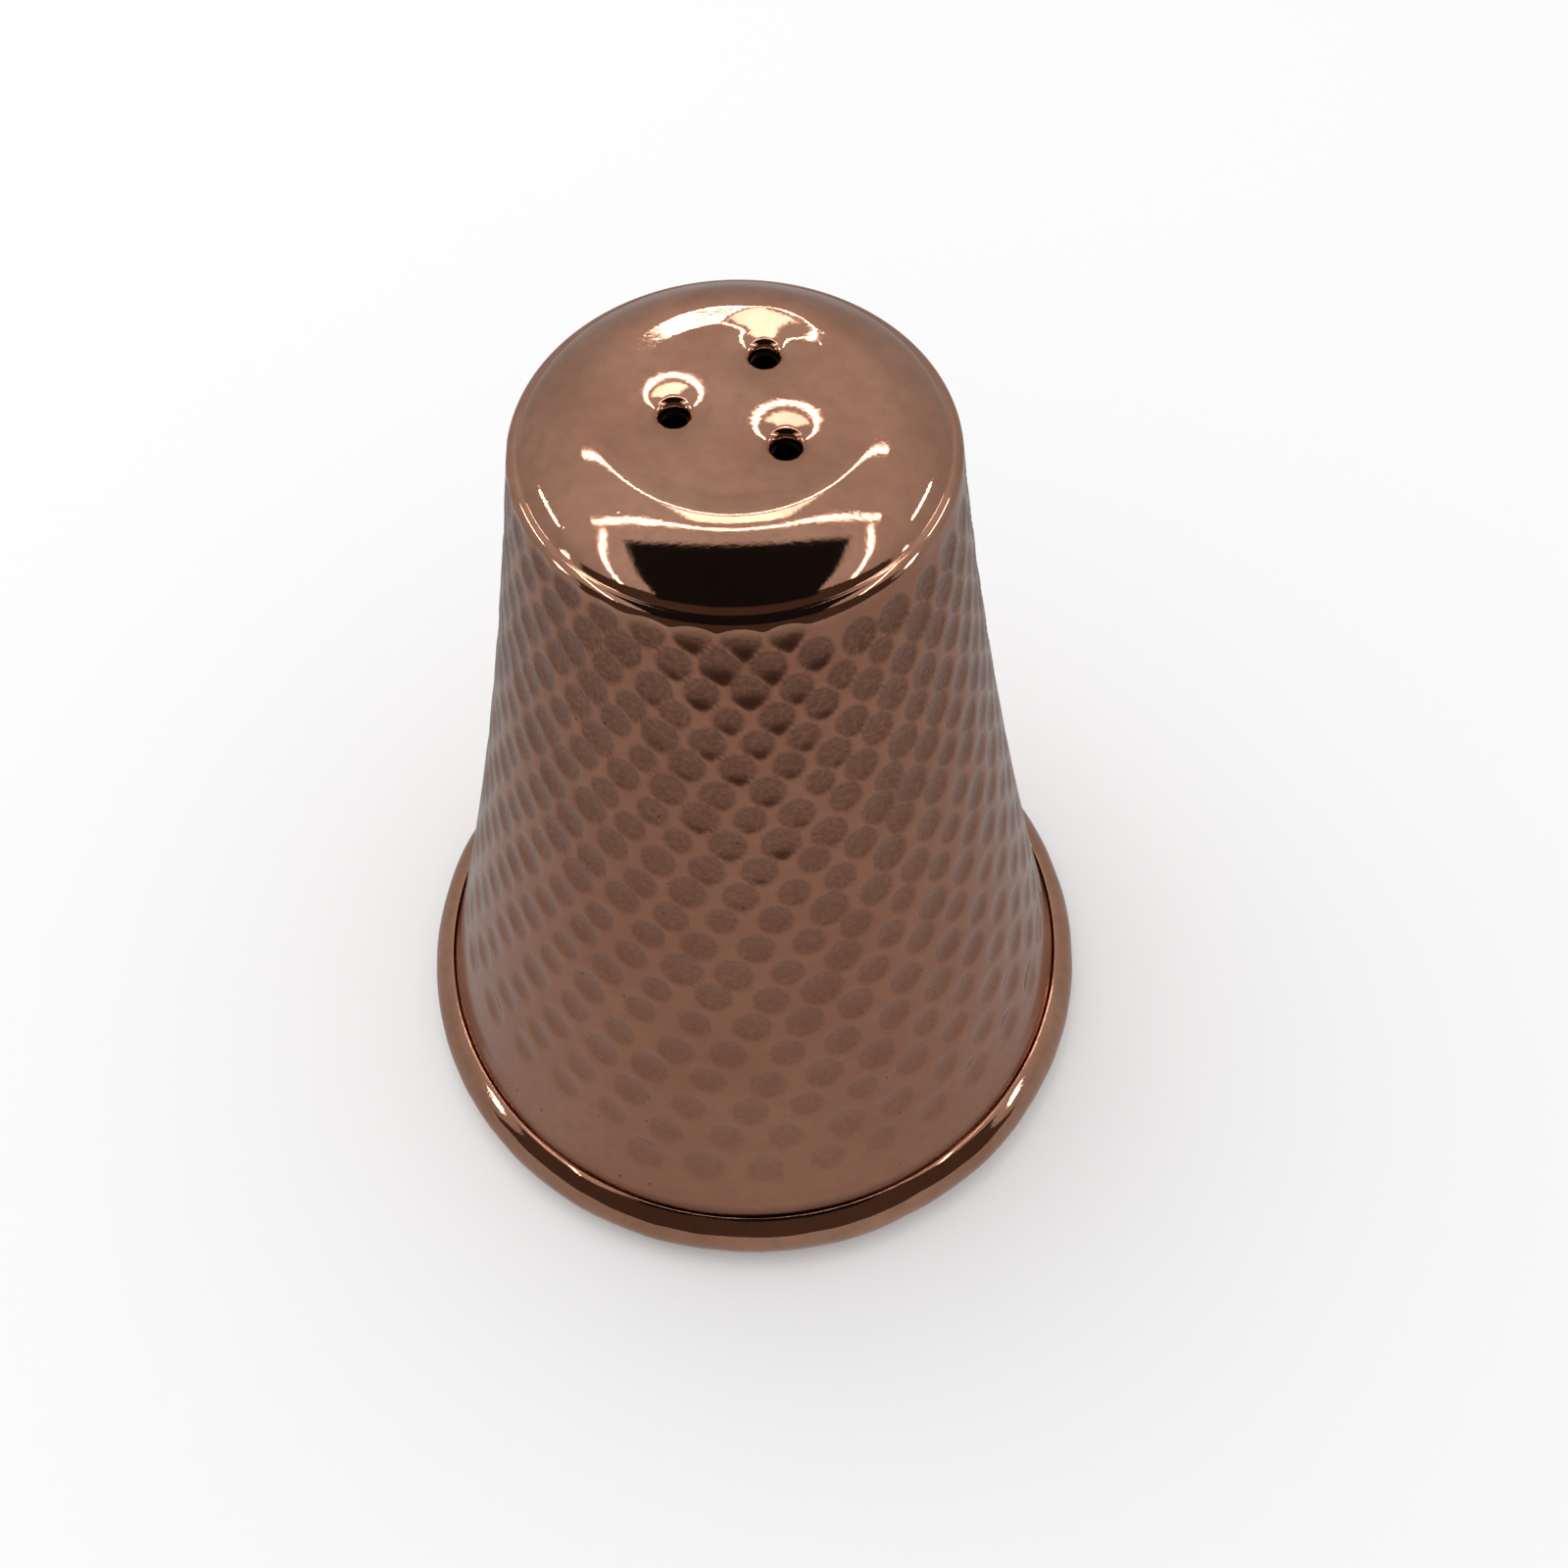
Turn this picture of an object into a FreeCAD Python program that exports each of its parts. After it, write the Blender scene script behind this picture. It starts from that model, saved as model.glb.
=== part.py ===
import FreeCAD, Part
import math
import os
import Sketcher

# Hammered copper table shaker: a bell of copper sheet closed at the top, where three pouring
# holes are punched inwards, and closed below by a pan whose rim is rolled round the shell's foot
# and a wire. A rubber stopper in the pan's collar closes the filler hole.
# Millimetres. +Z is the axis of the bell, Z = 0 is the surface it stands on.

DIMENSIONS = {
    # sheet, and the flat disc that closes the top
    "sheet": 0.8,
    "layer_gap": 0.05,
    "disc_radius": 6.93,
    "disc_z": 75.15,
    "foot_end_z": 3.35,
    # pouring holes
    "hole_pitch_radius": 4.43,
    "hole_centre_x": 0.56,
    "hole_centre_y": 1.29,
    "hole_angle_one": 71.4,
    "hole_angle_two": 189.7,
    "hole_angle_three": 308.2,
    "hole_throat_radius": 0.9,
    "hole_mouth_lift": 0.02,
    "hole_mouth_bend": 1.0,
    "hole_mouth_tilt": 14.0,
    "hole_dish_bend": 7.5,
    "hole_dish_tilt": 22.0,
    "hole_throat_bend": 0.75,
    "hole_depth": 1.6,
    "hole_sheet": 0.6,
    "bore_overshoot": 0.6,
    # rolled rim and base pan
    "roll_radius": 3.0,
    "roll_centre_radius": 26.15,
    "land_depth": 0.06,
    "wire_radius": 1.4,
    "wire_side_angle": -60.0,
    "pan_bend": 0.4,
    # solder run into the corner between the pan's edge and the inside of the shell
    "seam_gap": 0.1,
    "seam_low_rise": 0.65,
    "seam_high_rise": 2.1,
    "seam_low_run": 1.08,
    "seam_side_run": 0.75,
    "seam_side_drop": 0.18,
    "seam_top_run": 0.2,
    # filler hole and stopper
    "collar_radius": 7.5,
    "collar_top_z": 6.6,
    "stopper_clearance": 0.05,
    "flange_radius": 10.2,
    "flange_thick": 1.1,
    "shank_top_z": 9.0,
    "shank_wall": 1.3,
    "shank_taper": 0.5,
    "tab_length": 11.0,
    "tab_width": 2.2,
    "tab_drop": 1.2,
}

# The shell's outer face, from the edge of the disc down to the foot, as tangent arcs:
# (name, bend radius, tilt at the arc's end in degrees below the horizontal).
MERIDIAN = [
    ("ring_foot", 2.6, -14.2),
    ("ring_slope", 44.0, -15.0),
    ("ring_crest", 2.8, 8.0),
    ("ring_fall", 4.9, 18.5),
    ("shoulder_start", 11.0, 24.0),
    ("shoulder_mid", 12.5, 34.0),
    ("shoulder_end", 4.0, 52.0),
    ("groove", 0.3, 15.0),
    ("wall_top", 0.95, 82.4),
    ("wall", 703.3, 77.11),
    ("foot", 18.67, 69.6),
]

CONVEX = -1
CONCAVE = 1

CELLS = dict(DIMENSIONS)
for arc_name, arc_bend, arc_tilt in MERIDIAN:
    CELLS[arc_name + "_bend"] = arc_bend
    CELLS[arc_name + "_tilt"] = arc_tilt

doc = FreeCAD.newDocument("copper_shaker")
sheet = doc.addObject("Spreadsheet::Sheet", "dims")
for row, (alias, value) in enumerate(CELLS.items(), start=1):
    sheet.set("A%d" % row, alias)
    sheet.set("B%d" % row, str(value))
    sheet.setAlias("B%d" % row, alias)
doc.recompute()


def number(expression):
    """The value in millimetres (or plain) of an expression on the sheet."""
    value = sheet.evalExpression(expression)
    return float(getattr(value, "Value", value))


def new_body(name):
    body = doc.addObject("PartDesign::Body", name)
    body.Label = name
    return body


def new_sketch(body, name, role="XZ_Plane"):
    sketch = body.newObject("Sketcher::SketchObject", name)
    plane = [f for f in body.Origin.OriginFeatures if f.Role == role][0]
    sketch.AttachmentSupport = (plane, "")
    sketch.MapMode = "FlatFace"
    return sketch


def arc_geometry(start, end, radius, turn):
    """Circular arc from start to end; turn +1 bends to the left, -1 to the right."""
    chord = end - start
    half = chord.Length / 2
    height = math.sqrt(max(radius * radius - half * half, 0.0))
    left = FreeCAD.Vector(-chord.y, chord.x, 0).normalize()
    centre = (start + end) * 0.5 + left * (turn * height)
    first = math.atan2(start.y - centre.y, start.x - centre.x)
    last = math.atan2(end.y - centre.y, end.x - centre.x)
    if turn < 0:
        first, last = last, first
    circle = Part.Circle(centre, FreeCAD.Vector(0, 0, 1), radius)
    return Part.ArcOfCircle(circle, first, last)


def pin_vertex(sketch, geometry, end, x_expression, y_expression):
    """Bind one vertex's two coordinates to expressions."""
    axes = (("DistanceX", x_expression, -2), ("DistanceY", y_expression, -1))
    for kind, expression, axis in axes:
        value = number(expression)
        if abs(value) < 1e-9:
            sketch.addConstraint(Sketcher.Constraint("PointOnObject", geometry, end, axis))
            continue
        index = sketch.addConstraint(Sketcher.Constraint(kind, -1, 1, geometry, end, value))
        sketch.setExpression("Constraints[%d]" % index, expression)


def closed_outline(sketch, vertices):
    """Closed outline. Each vertex is (x, y) or (x, y, radius, turn); the last two describe the
    arc that arrives at it. All of them are expressions on the sheet, except turn."""
    points = [FreeCAD.Vector(number(v[0]), number(v[1]), 0) for v in vertices]
    edges = []
    for i, vertex in enumerate(vertices):
        start = points[i - 1]
        end = points[i]
        if len(vertex) == 2:
            edges.append((sketch.addGeometry(Part.LineSegment(start, end)), 1, 2))
            continue
        shape = arc_geometry(start, end, number(vertex[2]), vertex[3])
        index = sketch.addGeometry(shape)
        ends = (1, 2) if vertex[3] > 0 else (2, 1)
        edges.append((index,) + ends)
    for i, vertex in enumerate(vertices):
        following = edges[(i + 1) % len(edges)]
        index, _, end = edges[i]
        sketch.addConstraint(Sketcher.Constraint("Coincident", index, end, following[0], following[1]))
        pin_vertex(sketch, index, end, vertex[0], vertex[1])
        if len(vertex) > 2:
            radius = sketch.addConstraint(Sketcher.Constraint("Radius", index, number(vertex[2])))
            sketch.setExpression("Constraints[%d]" % radius, vertex[2])


def revolve(body, sketch, name, kind="PartDesign::Revolution"):
    feature = body.newObject(kind, name)
    feature.Profile = sketch
    feature.ReferenceAxis = (sketch, ["V_Axis"])
    feature.Angle = 360
    sketch.Visibility = False
    return feature


# ---------------------------------------------------------------- shell meridian
# Each station is (radius, height, tilt of the surface below the horizontal). The inner face lies
# one sheet thickness below and inside the outer one, along the normal at the station.

DISC = "dims.disc_z"


def degrees(expression):
    return "(%s) * 1 deg" % expression


def sine(expression):
    return "sin(%s)" % degrees(expression)


def cosine(expression):
    return "cos(%s)" % degrees(expression)


def stations():
    """(radius, height, tilt, bend of the arc that arrives here, its turn) along the face. Each
    arc starts where the last one ends, at the same tilt."""
    radius, height, tilt = "dims.disc_radius", DISC, "0"
    found = [(radius, height, tilt, None, 0)]
    last_value = 0.0
    for name, _, value in MERIDIAN:
        turn = CONVEX if value > last_value else CONCAVE
        sign = "+" if turn == CONVEX else "-"
        bend, end = "dims.%s_bend" % name, "dims.%s_tilt" % name
        radius += " %s %s * (%s - %s)" % (sign, bend, sine(end), sine(tilt))
        height += " %s %s * (%s - %s)" % (sign, bend, cosine(end), cosine(tilt))
        found.append((radius, height, end, bend, turn))
        tilt, last_value = end, value
    return found


STATIONS = stations()

# The straight end of the foot, below the last arc.
FOOT_R = "(%s)" % STATIONS[-1][0]
FOOT_Z = "(%s)" % STATIONS[-1][1]
FOOT_RUN = "(%s - dims.foot_end_z) / tan(%s)" % (FOOT_Z, degrees("dims.foot_tilt"))
FOOT_OUTER = "%s + %s" % (FOOT_R, FOOT_RUN)
FOOT_WALL = "dims.sheet / %s" % sine("dims.foot_tilt")


def shell_outline():
    """Outer face from the axis down to the foot, then the inner face back up to the axis."""
    outline = [("0", DISC)]
    for radius, height, _, bend, turn in STATIONS:
        outline.append((radius, height) if bend is None else (radius, height, bend, turn))
    outline.append((FOOT_OUTER, "dims.foot_end_z"))
    outline.append((FOOT_OUTER + " - " + FOOT_WALL, "dims.foot_end_z"))
    arriving = (None, 0)
    for radius, height, tilt, bend, turn in reversed(STATIONS):
        inner_radius = "%s - dims.sheet * %s" % (radius, sine(tilt))
        inner_height = "%s - dims.sheet * %s" % (height, cosine(tilt))
        inner_bend, inner_turn = arriving
        if inner_bend is None:
            outline.append((inner_radius, inner_height))
        else:
            outline.append((inner_radius, inner_height, inner_bend, inner_turn))
        if bend is None:
            arriving = (None, 0)
        elif turn == CONCAVE:
            arriving = ("%s + dims.sheet" % bend, CONVEX)
        else:
            arriving = ("%s - dims.sheet" % bend, CONCAVE)
    outline.append(("0", "%s - dims.sheet" % DISC))
    return outline


def hole_sketch(body, name, angle):
    """Sketch in a vertical plane through the axis of one pouring hole, as its own origin."""
    sketch = new_sketch(body, name)
    east = "dims.hole_centre_x + dims.hole_pitch_radius * cos(dims.%s * 1 deg)" % angle
    north = "dims.hole_centre_y + dims.hole_pitch_radius * sin(dims.%s * 1 deg)" % angle
    sketch.setExpression("AttachmentOffset.Base.x", "(%s) * 1 mm" % east)
    sketch.setExpression("AttachmentOffset.Base.z", "-(%s) * 1 mm" % north)
    return sketch


# A pouring hole's mouth as three tangent arcs, named from the disc down to the throat. The first
# starts a lift above the disc, so that it meets the disc at a slight angle.
MOUTH_TILT = "dims.hole_mouth_tilt"
DISH_TILT = "dims.hole_dish_tilt"


def mouth_points(inset):
    """The mouth's arcs for a face that lies an inset under the upper one: start and vertices."""
    mouth = "(dims.hole_mouth_bend - %s)" % inset
    dish = "(dims.hole_dish_bend - %s)" % inset
    edge = "(dims.hole_throat_bend - %s)" % inset
    throat = "(dims.hole_throat_radius + %s)" % inset
    level = "(%s + dims.hole_mouth_lift - %s)" % (DISC, inset)
    edge_r = "(%s + %s * (1 - %s))" % (throat, edge, sine(DISH_TILT))
    dish_r = "(%s + %s * (%s - %s))" % (edge_r, dish, sine(DISH_TILT), sine(MOUTH_TILT))
    mouth_r = "(%s + %s * %s)" % (dish_r, mouth, sine(MOUTH_TILT))
    dish_z = "(%s - %s * (1 - %s))" % (level, mouth, cosine(MOUTH_TILT))
    edge_z = "(%s - %s * (%s - %s))" % (dish_z, dish, cosine(MOUTH_TILT), cosine(DISH_TILT))
    throat_z = "(%s - %s * %s)" % (edge_z, edge, cosine(DISH_TILT))
    arcs = [
        (dish_r, dish_z, mouth, CONCAVE),
        (edge_r, edge_z, dish, CONCAVE),
        (throat, throat_z, edge, CONCAVE),
    ]
    return mouth_r, level, throat, arcs


def funnel_outline():
    """Solid funnel of sheet turned inwards under the disc, before its bore is cut."""
    mouth, level, throat, arcs = mouth_points("dims.hole_sheet")
    bottom = "%s - dims.hole_depth" % DISC
    middle = "%s - dims.sheet / 2" % DISC
    return [("0", middle), (mouth, middle), (mouth, level)] + arcs + [
        (throat, bottom), ("0", bottom)]


def bore_outline():
    """Trumpet-shaped bore: a wide dished mouth that turns down into a short straight throat."""
    mouth, level, throat, arcs = mouth_points("0")
    above = "%s + dims.bore_overshoot" % DISC
    below = "%s - dims.hole_depth - dims.sheet" % DISC
    return [("0", above), (mouth, above), (mouth, level)] + arcs + [
        (throat, below), ("0", below)]


def make_body_shell():
    body = new_body("body_shell")
    meridian = new_sketch(body, "shell_meridian")
    closed_outline(meridian, shell_outline())
    revolve(body, meridian, "shell_bell")
    doc.recompute()
    for word in ("one", "two", "three"):
        funnel = hole_sketch(body, "funnel_%s_section" % word, "hole_angle_%s" % word)
        closed_outline(funnel, funnel_outline())
        revolve(body, funnel, "funnel_%s" % word)
        doc.recompute()
        before = body.Shape.Volume
        bore = hole_sketch(body, "bore_%s_section" % word, "hole_angle_%s" % word)
        closed_outline(bore, bore_outline())
        revolve(body, bore, "bore_%s" % word, "PartDesign::Groove")
        doc.recompute()
        if body.Shape.Volume >= before:
            raise RuntimeError("pouring hole %s was not cut" % word)
    return body


# ---------------------------------------------------------------- base pan
ROLL_Z = "(dims.roll_radius - dims.land_depth)"
ROLL_R = "dims.roll_centre_radius"
ROLL_INNER = "(dims.roll_radius - dims.sheet)"
LAND = "sqrt(dims.roll_radius^2 - %s^2)" % ROLL_Z
PAN_UNDER = "(%s + dims.pan_bend)" % ROLL_Z
PAN_TOP = "(%s + dims.sheet)" % PAN_UNDER
PAN_BEND_R = "(%s - dims.roll_radius - dims.pan_bend)" % ROLL_R
COLLAR_OUT = "(dims.collar_radius + dims.sheet)"
COLLAR_BEND_R = "(%s + dims.pan_bend)" % COLLAR_OUT
COLLAR_BEND_Z = "(%s + dims.pan_bend)" % PAN_TOP


def lip_end(roll_radius):
    """Where a circle of the rolled rim meets the outside of the shell's foot, one gap off it."""
    radius = number(roll_radius)
    tilt = math.radians(number("dims.foot_tilt"))
    along = (math.cos(tilt), -math.sin(tilt))
    gap = number("dims.layer_gap")
    start = (number(FOOT_R) + gap * math.sin(tilt) - number(ROLL_R),
             number(FOOT_Z) + gap * math.cos(tilt) - number(ROLL_Z))
    ahead = start[0] * along[0] + start[1] * along[1]
    beyond = start[0] ** 2 + start[1] ** 2 - radius ** 2
    step = -ahead - math.sqrt(ahead ** 2 - beyond)
    x = start[0] + step * along[0]
    y = start[1] + step * along[1]
    return math.atan2(y, x)


def on_roll(roll_radius, angle):
    """Expressions of the point at an angle on a circle of the rolled rim."""
    turn = "%.6f deg" % math.degrees(angle)
    return ("%s + %s * cos(%s)" % (ROLL_R, roll_radius, turn),
            "%s + %s * sin(%s)" % (ROLL_Z, roll_radius, turn))


def pan_outline():
    """Section of the pan: collar, floor and the rim rolled out and up round the wire."""
    outer_end = lip_end("dims.roll_radius")
    inner_end = lip_end(ROLL_INNER)
    return [
        ("dims.collar_radius", "dims.collar_top_z"),
        ("dims.collar_radius", COLLAR_BEND_Z),
        (COLLAR_BEND_R, PAN_UNDER, "dims.pan_bend + dims.sheet", 1),
        (PAN_BEND_R, PAN_UNDER),
        ("%s - dims.roll_radius" % ROLL_R, ROLL_Z, "dims.pan_bend", -1),
        ("%s - %s" % (ROLL_R, LAND), "0", "dims.roll_radius", 1),
        ("%s + %s" % (ROLL_R, LAND), "0"),
        on_roll("dims.roll_radius", outer_end) + ("dims.roll_radius", 1),
        on_roll(ROLL_INNER, inner_end),
        on_roll(ROLL_INNER, math.radians(number("dims.wire_side_angle"))) + (ROLL_INNER, -1),
        ("%s - %s" % (ROLL_R, ROLL_INNER), ROLL_Z, ROLL_INNER, -1),
        (PAN_BEND_R, PAN_TOP, "dims.pan_bend + dims.sheet", 1),
        (COLLAR_BEND_R, PAN_TOP),
        (COLLAR_OUT, COLLAR_BEND_Z, "dims.pan_bend", -1),
        (COLLAR_OUT, "dims.collar_top_z"),
    ]


def make_base_pan():
    body = new_body("base_pan")
    section = new_sketch(body, "pan_section")
    closed_outline(section, pan_outline())
    revolve(body, section, "pan_turned")
    return body


def make_rim_wire():
    """Wire ring that lies in the bottom of the rolled rim, under the shell's foot."""
    wire = doc.addObject("Part::Torus", "rim_wire")
    wire.Label = "rim_wire"
    wire.setExpression("Radius1", "%s * 1 mm" % ROLL_R)
    wire.setExpression("Radius2", "dims.wire_radius * 1 mm")
    lift = "dims.sheet - dims.land_depth + dims.layer_gap + dims.wire_radius"
    wire.setExpression("Placement.Base.z", "(%s) * 1 mm" % lift)
    return wire


def make_solder_seam():
    """Tin run into the corner between the pan and the inside of the shell."""
    body = new_body("solder_seam")
    section = new_sketch(body, "seam_section")
    slope = "tan(%s)" % degrees("dims.foot_tilt")
    low = "(%s + dims.seam_low_rise)" % ROLL_Z
    high = "(%s + dims.seam_high_rise)" % ROLL_Z
    shell = "%s - %s - dims.layer_gap - dims.seam_gap" % (FOOT_R, FOOT_WALL)
    closed_outline(section, [
        ("%s + dims.seam_low_run" % PAN_BEND_R, low),
        ("%s + (%s - %s) / %s" % (shell, FOOT_Z, low, slope), low),
        ("%s + (%s - %s) / %s" % (shell, FOOT_Z, high, slope), high),
        ("%s + dims.seam_top_run" % PAN_BEND_R, "%s + dims.layer_gap" % PAN_TOP),
        ("%s + dims.seam_side_run" % PAN_BEND_R, "%s - dims.seam_side_drop" % PAN_TOP),
    ])
    revolve(body, section, "seam_turned")
    return body


# ---------------------------------------------------------------- stopper
FLANGE_TOP = "(%s - dims.layer_gap)" % PAN_UNDER
FLANGE_LOW = "(%s - dims.flange_thick)" % FLANGE_TOP
SHANK_R = "(dims.collar_radius - dims.stopper_clearance)"
SHANK_IN = "(%s - dims.shank_wall)" % SHANK_R


def make_filler_stopper():
    """Moulded plug: a flange under the pan, a hollow shank in the collar and a grip tab."""
    body = new_body("filler_stopper")
    section = new_sketch(body, "stopper_section")
    closed_outline(section, [
        ("0", FLANGE_LOW),
        ("dims.flange_radius", FLANGE_LOW),
        ("dims.flange_radius", FLANGE_TOP),
        (SHANK_R, FLANGE_TOP),
        (SHANK_R, "dims.shank_top_z - 2 * dims.shank_taper"),
        ("%s - dims.shank_taper" % SHANK_R, "dims.shank_top_z"),
        (SHANK_IN, "dims.shank_top_z"),
        (SHANK_IN, "%s + dims.shank_wall" % FLANGE_TOP),
        ("0", "%s + dims.shank_wall" % FLANGE_TOP),
    ])
    revolve(body, section, "stopper_turned")
    doc.recompute()
    tab = new_sketch(body, "tab_section", "XY_Plane")
    tab.setExpression("AttachmentOffset.Base.z", "%s * 1 mm" % FLANGE_LOW)
    half_length = "dims.tab_length / 2"
    half_width = "dims.tab_width / 2"
    closed_outline(tab, [
        ("-" + half_length, "-" + half_width),
        (half_length, "-" + half_width),
        (half_length, half_width),
        ("-" + half_length, half_width),
    ])
    pad = body.newObject("PartDesign::Pad", "grip_tab")
    pad.Profile = tab
    pad.Reversed = True
    pad.setExpression("Length", "dims.tab_drop * 1 mm")
    tab.Visibility = False
    doc.recompute()
    return body


pieces = [
    make_body_shell(),
    make_base_pan(),
    make_rim_wire(),
    make_solder_seam(),
    make_filler_stopper(),
]
doc.recompute()

for item in doc.Objects:
    if "Invalid" in item.State or "Error" in item.State:
        raise RuntimeError("%s failed: %s" % (item.Name, item.State))
for piece in pieces:
    if piece.Shape.isNull() or not piece.Shape.isValid():
        raise RuntimeError("%s has no valid shape" % piece.Label)

os.makedirs("parts", exist_ok=True)
for piece in pieces:
    piece.Shape.exportStep("parts/%s.step" % piece.Label)
    box = piece.Shape.optimalBoundingBox(False)
    print("%s: %d solid, volume %.1f, z %.2f to %.2f, radius %.2f"
          % (piece.Label, len(piece.Shape.Solids), piece.Shape.Volume, box.ZMin, box.ZMax, box.XMax))
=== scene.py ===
import math
import random

import bmesh
import bpy
import numpy as np
from mathutils import Matrix, Vector, noise
from mathutils.geometry import delaunay_2d_cdt


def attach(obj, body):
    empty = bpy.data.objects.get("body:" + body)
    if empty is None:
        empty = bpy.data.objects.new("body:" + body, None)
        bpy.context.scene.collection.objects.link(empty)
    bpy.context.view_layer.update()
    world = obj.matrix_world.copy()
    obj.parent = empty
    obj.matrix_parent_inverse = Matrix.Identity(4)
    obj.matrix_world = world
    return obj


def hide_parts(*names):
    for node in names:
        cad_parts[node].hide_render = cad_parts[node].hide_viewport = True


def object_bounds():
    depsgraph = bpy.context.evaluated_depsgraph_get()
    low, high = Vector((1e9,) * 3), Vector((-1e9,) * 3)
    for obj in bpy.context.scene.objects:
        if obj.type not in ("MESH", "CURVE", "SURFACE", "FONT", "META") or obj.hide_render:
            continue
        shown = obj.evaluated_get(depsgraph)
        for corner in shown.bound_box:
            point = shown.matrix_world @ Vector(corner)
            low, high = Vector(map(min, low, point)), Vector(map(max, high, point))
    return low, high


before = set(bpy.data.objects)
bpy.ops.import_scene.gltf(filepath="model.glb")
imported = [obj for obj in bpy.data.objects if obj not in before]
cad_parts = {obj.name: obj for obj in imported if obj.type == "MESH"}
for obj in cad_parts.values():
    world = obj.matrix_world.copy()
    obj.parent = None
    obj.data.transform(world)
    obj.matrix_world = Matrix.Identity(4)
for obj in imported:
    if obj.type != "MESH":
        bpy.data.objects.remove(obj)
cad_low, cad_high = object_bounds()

# A table shaker of hammered copper: a bell with three pouring holes, closed below by a pan whose
# rim is rolled round the bell's foot. Lengths in this file are millimetres; the meshes are scaled
# to metres as they are made. The axis of the bell is Z and the shaker stands on Z = 0.

MM = 0.001
TOP_Z = cad_high.z / MM
SHEET = 0.8
SHAKER = "shaker"

# ---------------------------------------------------------------- meridian of the bell
# The outer face, from the edge of the flat disc down to the foot, as tangent arcs. Each arc is
# (bend radius, tilt at its end): tilt is degrees below the horizontal, and the surface curls
# down when it grows and up when it falls. The ring climbs from the disc to its crest, the neck
# goes from there over the shoulder and the groove, and then come the wall and the foot.
DISC_RADIUS = 6.93
TOP_SHIFT = 0.75
SHIFT_ENDS = (9.4, 14.0)
RING_ARCS = [(2.6, -7.5), (178.2, -7.9), (2.8, 0.0)]
NECK_ARCS = [(2.8, 8.0), (4.9, 18.5), (11.0, 24.0), (12.5, 34.0), (4.0, 52.0), (0.3, 15.0),
             (0.95, 82.4)]
WALL_ARC = [(703.3, 77.11)]
FOOT_ARC = [(18.67, 69.6)]
FOOT_END_Z = 3.35


def walk_arcs(start, arcs, step, turn):
    """Points (radius, height, tilt in radians) along tangent arcs, start included."""
    points = [start]
    for bend, end_tilt in arcs:
        radius, height, tilt = points[-1]
        goal = math.radians(end_tilt)
        sign = 1.0 if goal > tilt else -1.0
        count = max(2, math.ceil(bend * abs(goal - tilt) / step),
                    math.ceil(abs(goal - tilt) / math.radians(turn)))
        for i in range(1, count + 1):
            now = tilt + (goal - tilt) * i / count
            points.append((radius + sign * bend * (math.sin(now) - math.sin(tilt)),
                           height + sign * bend * (math.cos(now) - math.cos(tilt)), now))
    return points


# The disc lies as far under the top as the ring's arcs climb from it.
DISC_Z = TOP_Z - walk_arcs((DISC_RADIUS, 0.0, 0.0), RING_ARCS, 0.1, 8)[-1][1]


def straight_to(points, end_z, step):
    """The points, and more along the last tilt down to a height."""
    radius, height, tilt = points[-1]
    count = max(1, math.ceil((height - end_z) / step))
    for i in range(1, count + 1):
        down = (height - end_z) * i / count
        points.append((radius + down / math.tan(tilt), height - down, tilt))
    return points


def top_shift(radius):
    """How far the ring and disc stand off the axis, towards +Y, at a radius of the meridian."""
    near, far = SHIFT_ENDS
    along = min(1.0, max(0.0, (far - radius) / (far - near)))
    return TOP_SHIFT * along * along * (3 - 2 * along)


def offset_inwards(points, distance):
    """The points moved towards the inside of the sheet, square to the surface."""
    return [(r - distance * math.sin(t), z - distance * math.cos(t), t) for r, z, t in points]


# ---------------------------------------------------------------- pouring holes
# Places on the disc are measured from its own centre, which stands TOP_SHIFT off the axis.
HOLE_CENTRE = (0.56, 1.29 - TOP_SHIFT)
HOLE_PITCH_RADIUS = 4.43
HOLE_ANGLES = (71.4, 189.7, 308.2)
THROAT_RADIUS = 0.9
TURNED_SHEET = 0.6
HOLE_DEPTH = 1.6
HOLE_SIDES = 60
THROAT_CHAMFER = 0.08

# The mouth of a hole, from the disc down to the throat, as tangent arcs that all curl the same
# way: (bend radius, steepness at its end in degrees).
MOUTH_ARCS = [(2.0, 4.0), (22.0, 7.0), (7.0, 14.0), (3.0, 18.0), (0.75, 90.0)]

HOLES = [(HOLE_CENTRE[0] + HOLE_PITCH_RADIUS * math.cos(math.radians(a)),
          HOLE_CENTRE[1] + HOLE_PITCH_RADIUS * math.sin(math.radians(a))) for a in HOLE_ANGLES]


def mouth_profile(inset, turn=2.5):
    """(distance from the hole's axis, drop below the disc) from the mouth's edge to the throat,
    for a face that lies an inset under the upper one."""
    steep = 0.0
    reach, drop = 0.0, 0.0
    points = [(reach, drop)]
    for bend, end in MOUTH_ARCS:
        goal = math.radians(end)
        count = max(2, math.ceil(math.degrees(goal - steep) / turn))
        for i in range(1, count + 1):
            now = steep + (goal - steep) * i / count
            points.append((reach + (bend - inset) * (math.sin(now) - math.sin(steep)),
                           drop + (bend - inset) * (math.cos(steep) - math.cos(now))))
        reach, drop = points[-1]
        steep = goal
    edge = THROAT_RADIUS + inset + reach
    return [(edge - across, down) for across, down in points]


def hole_drop(x, y, mouth):
    """How far the mouth of a pouring hole lowers the disc at a point."""
    drop = 0.0
    for hx, hy in HOLES:
        away = math.hypot(x - hx, y - hy)
        if away < mouth[0][0]:
            drop = max(drop, float(np.interp(away, [m[0] for m in reversed(mouth)],
                                             [m[1] for m in reversed(mouth)])))
    return drop


def ring_points(centre, radius, count, phase=0.0):
    """Points spaced evenly round a circle."""
    return [(centre[0] + radius * math.cos(2 * math.pi * (i + phase) / count),
             centre[1] + radius * math.sin(2 * math.pi * (i + phase) / count))
            for i in range(count)]


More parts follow.
